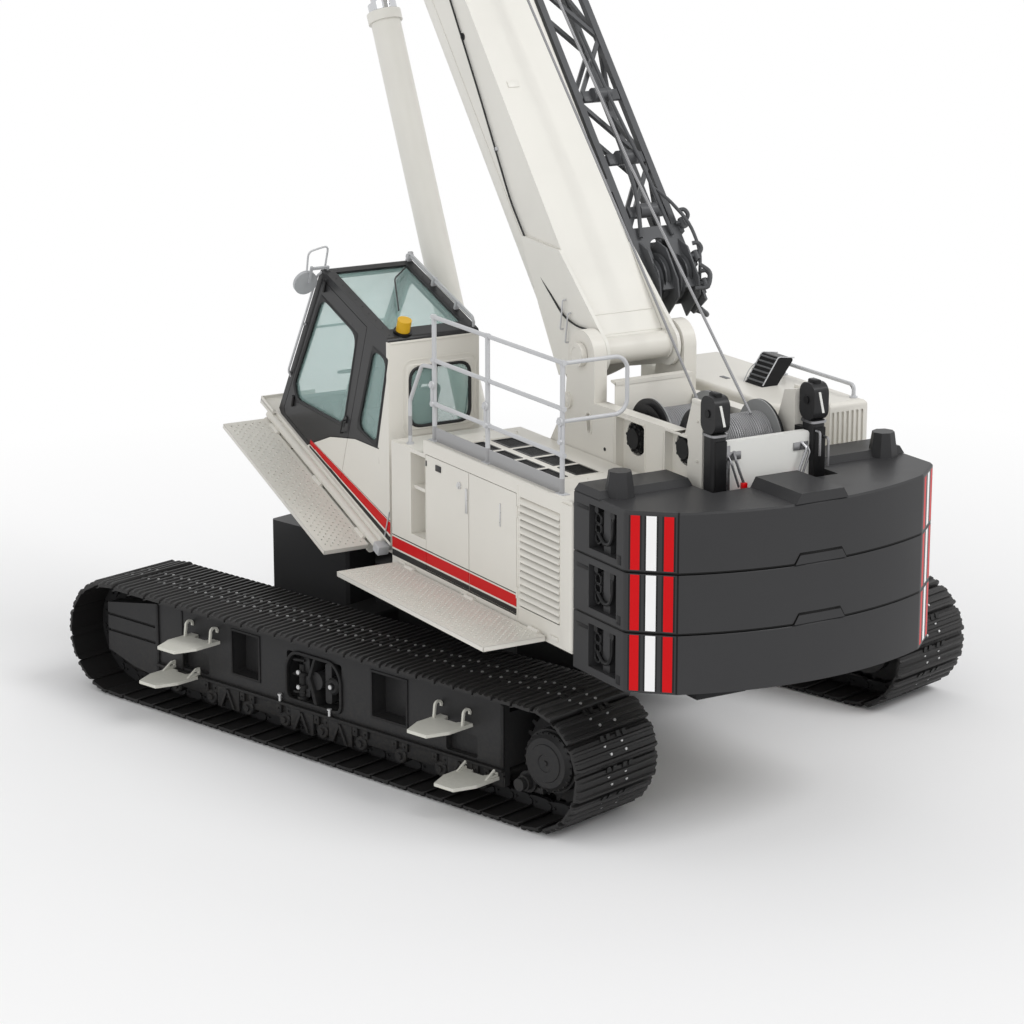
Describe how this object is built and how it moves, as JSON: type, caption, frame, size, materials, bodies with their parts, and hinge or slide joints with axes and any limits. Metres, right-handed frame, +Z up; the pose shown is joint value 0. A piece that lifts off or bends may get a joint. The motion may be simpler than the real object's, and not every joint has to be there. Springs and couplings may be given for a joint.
{
  "type": "telescopic crawler crane",
  "caption": "Crawler crane with a swung upper body, tilted cab, raised telescopic boom, stowed lattice jib, winches and stacked counterweight.",
  "frame": {"origin": "on the ground under the middle of the slewing ring", "axes": "+X the way the upper works and boom face, +Y the operator's left, +Z up; the undercarriage stands turned 16.9 degrees about +Z from them"},
  "size_m": [10.921, 6.4092, 12.2768],
  "materials": {
    "track_steel": "worn black",
    "frame_paint": "satin",
    "white_paint": "satin",
    "bare_steel": "machined",
    "cream_paint": "gloss",
    "grey_paint": "satin",
    "cast_block": "rough",
    "black_paint": "satin",
    "drum_steel": "satin",
    "hook_paint": "satin",
    "chrome_rod": "polished",
    "cab_paint": "satin",
    "cab_glass": "clear green tint",
    "seat_fabric": "woven",
    "black_plastic": "grained"
  },
  "bodies": {
    "undercarriage": {"left_track": "track_steel", "right_track": "track_steel", "final_drives": "frame_paint", "idlers": "frame_paint", "rollers": "frame_paint", "left_track_frame": "frame_paint", "right_track_frame": "frame_paint", "frame_steps": "white_paint", "carbody": "frame_paint", "carbody_weights": "frame_paint", "slew_ring": "bare_steel"},
    "upper": {"upper_frame": "frame_paint", "left_house": "cream_paint", "right_house": "cream_paint", "left_louvres": "cream_paint", "right_louvres": "cream_paint", "left_deck": "cream_paint", "right_deck": "cream_paint", "deck_rails": "grey_paint", "engine_hood": "cream_paint", "engine_block": "cast_block", "hood_fittings": "black_paint", "counterweight_lower": "cream_paint", "counterweight_middle": "cream_paint", "counterweight_upper": "cream_paint", "counterweight_posts": "black_paint", "hose_panel": "white_paint", "winch_motors": "black_paint"},
    "left_front_door": {"left_front_door": "cream_paint"},
    "left_rear_door": {"left_rear_door": "cream_paint"},
    "right_front_door": {"right_front_door": "cream_paint"},
    "right_rear_door": {"right_rear_door": "cream_paint"},
    "body_walkway": {"body_walkway": "cream_paint"},
    "front_winch_drum": {"front_winch_drum": "drum_steel"},
    "rear_winch_drum": {"rear_winch_drum": "drum_steel"},
    "boom_pivot": {"boom_pivot_tube": "white_paint"},
    "boom_base": {"boom_base": "white_paint", "jib": "grey_paint"},
    "boom_second": {"boom_second": "white_paint"},
    "boom_third": {"boom_third": "white_paint"},
    "boom_tip": {"boom_tip": "white_paint", "jib_pin_lugs": "white_paint"},
    "head_sheaves": {"head_sheaves": "bare_steel"},
    "top_sheaves": {"top_sheaves": "bare_steel"},
    "hook_block": {"hook_block": "hook_paint"},
    "lift_pivot": {"lift_foot_pin": "bare_steel"},
    "lift_barrel": {"lift_barrel": "white_paint"},
    "lift_stage": {"lift_stage": "chrome_rod"},
    "lift_rod": {"lift_rod": "chrome_rod"},
    "cab": {"cab_body": "cab_paint", "cab_glass": "cab_glass", "operator_seat": "seat_fabric", "cab_console": "black_plastic", "cab_fittings": "black_plastic"},
    "cab_door": {"cab_door": "cab_paint", "cab_door_glass": "cab_glass"},
    "cab_walkway": {"cab_walkway": "cream_paint"},
    "tilt_barrel": {"tilt_barrel": "grey_paint"},
    "tilt_rod": {"tilt_rod": "chrome_rod"}
  },
  "joints": [
    {"name": "swing", "type": "hinge", "parent": "undercarriage", "child": "upper", "pos_m": [0, 0, 0], "axis": [0, 0, 1], "continuous": true},
    {"name": "boom_raise", "type": "hinge", "parent": "upper", "child": "boom_pivot", "pos_m": [-1.8, 0, 3.3], "axis": [0, -1, 0], "range_deg": [0, 31.7]},
    {"name": "boom_lower", "type": "hinge", "parent": "boom_pivot", "child": "boom_base", "pos_m": [-1.8, 0, 3.3], "axis": [0, -1, 0], "range_deg": [-50.3, 0]},
    {"name": "telescope", "type": "slide", "parent": "boom_base", "child": "boom_second", "axis": [0.6388, 0, 0.7694], "range_m": [0, 9]},
    {"name": "telescope_third", "type": "slide", "parent": "boom_second", "child": "boom_third", "axis": [0.6388, 0, 0.7694], "range_m": [0, 9]},
    {"name": "telescope_tip", "type": "slide", "parent": "boom_third", "child": "boom_tip", "axis": [0.6388, 0, 0.7694], "range_m": [0, 9]},
    {"name": "head_sheave_spin", "type": "hinge", "parent": "boom_tip", "child": "head_sheaves", "pos_m": [6.36604, 0, 11.72708], "axis": [0, 1, 0], "continuous": true},
    {"name": "top_sheave_spin", "type": "hinge", "parent": "boom_tip", "child": "top_sheaves", "pos_m": [5.45379, 0, 12.06854], "axis": [0, 1, 0], "continuous": true},
    {"name": "hook_swing", "type": "hinge", "parent": "boom_tip", "child": "hook_block", "pos_m": [6.36604, 0, 11.72708], "axis": [0, 1, 0], "range_deg": [-50.3, 31.7]},
    {"name": "lift_pivot_turn", "type": "hinge", "parent": "upper", "child": "lift_pivot", "pos_m": [0.41, 0, 1.62], "axis": [0, -1, 0], "range_deg": [0, 26.82]},
    {"name": "lift_barrel_turn", "type": "hinge", "parent": "lift_pivot", "child": "lift_barrel", "pos_m": [0.41, 0, 1.62], "axis": [0, -1, 0], "range_deg": [-56.71, 0]},
    {"name": "lift_stage_slide", "type": "slide", "parent": "lift_barrel", "child": "lift_stage", "axis": [0.4233, 0, 0.906], "range_m": [0, 1.3687]},
    {"name": "lift_rod_slide", "type": "slide", "parent": "lift_stage", "child": "lift_rod", "axis": [0.4233, 0, 0.906], "range_m": [-2.26997, 0]},
    {"name": "front_drum_spin", "type": "hinge", "parent": "upper", "child": "front_winch_drum", "pos_m": [-2.49, 0, 2.77], "axis": [0, 1, 0], "continuous": true},
    {"name": "rear_drum_spin", "type": "hinge", "parent": "upper", "child": "rear_winch_drum", "pos_m": [-3.17, 0, 2.84], "axis": [0, 1, 0], "continuous": true},
    {"name": "cab_tilt", "type": "hinge", "parent": "upper", "child": "cab", "pos_m": [-0.01206, 0.9, 1.5584], "axis": [0, 1, 0], "range_deg": [0, 20]},
    {"name": "cab_door_swing", "type": "hinge", "parent": "cab", "child": "cab_door", "pos_m": [0.65042, 1.32, 1.79953], "axis": [0.342, 0, -0.9397], "range_deg": [-95, 0]},
    {"name": "cab_walkway_fold", "type": "hinge", "parent": "cab", "child": "cab_walkway", "pos_m": [-0.02648, 1.405, 1.48399], "axis": [0.9397, 0, 0.342], "range_deg": [0, 90]},
    {"name": "tilt_barrel_turn", "type": "hinge", "parent": "upper", "child": "tilt_barrel", "pos_m": [0.43, 0.9, 1.43], "axis": [0, 1, 0], "range_deg": [0, 30.25]},
    {"name": "tilt_rod_slide", "type": "slide", "parent": "tilt_barrel", "child": "tilt_rod", "axis": [0.7619, 0, 0.6476], "range_m": [-0.10623, 0]},
    {"name": "left_front_door_swing", "type": "hinge", "parent": "upper", "child": "left_front_door", "pos_m": [-0.936, 1.37, 1.49], "axis": [0, 0, 1], "range_deg": [-100, 0]},
    {"name": "left_rear_door_swing", "type": "hinge", "parent": "upper", "child": "left_rear_door", "pos_m": [-2.334, 1.37, 1.49], "axis": [0, 0, -1], "range_deg": [-100, 0]},
    {"name": "right_front_door_swing", "type": "hinge", "parent": "upper", "child": "right_front_door", "pos_m": [-0.936, -1.37, 1.49], "axis": [0, 0, -1], "range_deg": [-100, 0]},
    {"name": "right_rear_door_swing", "type": "hinge", "parent": "upper", "child": "right_rear_door", "pos_m": [-2.334, -1.37, 1.49], "axis": [0, 0, 1], "range_deg": [-100, 0]},
    {"name": "body_walkway_fold", "type": "hinge", "parent": "upper", "child": "body_walkway", "pos_m": [-1.635, 1.39, 1.44], "axis": [1, 0, 0], "range_deg": [0, 90]}
  ],
  "couplings": [
    {"joint": "telescope_third", "follows": "telescope", "ratio": 1},
    {"joint": "telescope_tip", "follows": "telescope", "ratio": 1},
    {"joint": "lift_pivot_turn", "follows": "boom_raise", "ratio": 0.84598},
    {"joint": "lift_stage_slide", "follows": "boom_raise", "m_per_rad": 2.4738},
    {"joint": "lift_barrel_turn", "follows": "boom_lower", "ratio": 1.1274},
    {"joint": "lift_rod_slide", "follows": "boom_lower", "m_per_rad": 2.5857},
    {"joint": "tilt_barrel_turn", "follows": "cab_tilt", "ratio": 1.5127},
    {"joint": "tilt_rod_slide", "follows": "cab_tilt", "m_per_rad": -0.3043}
  ]
}
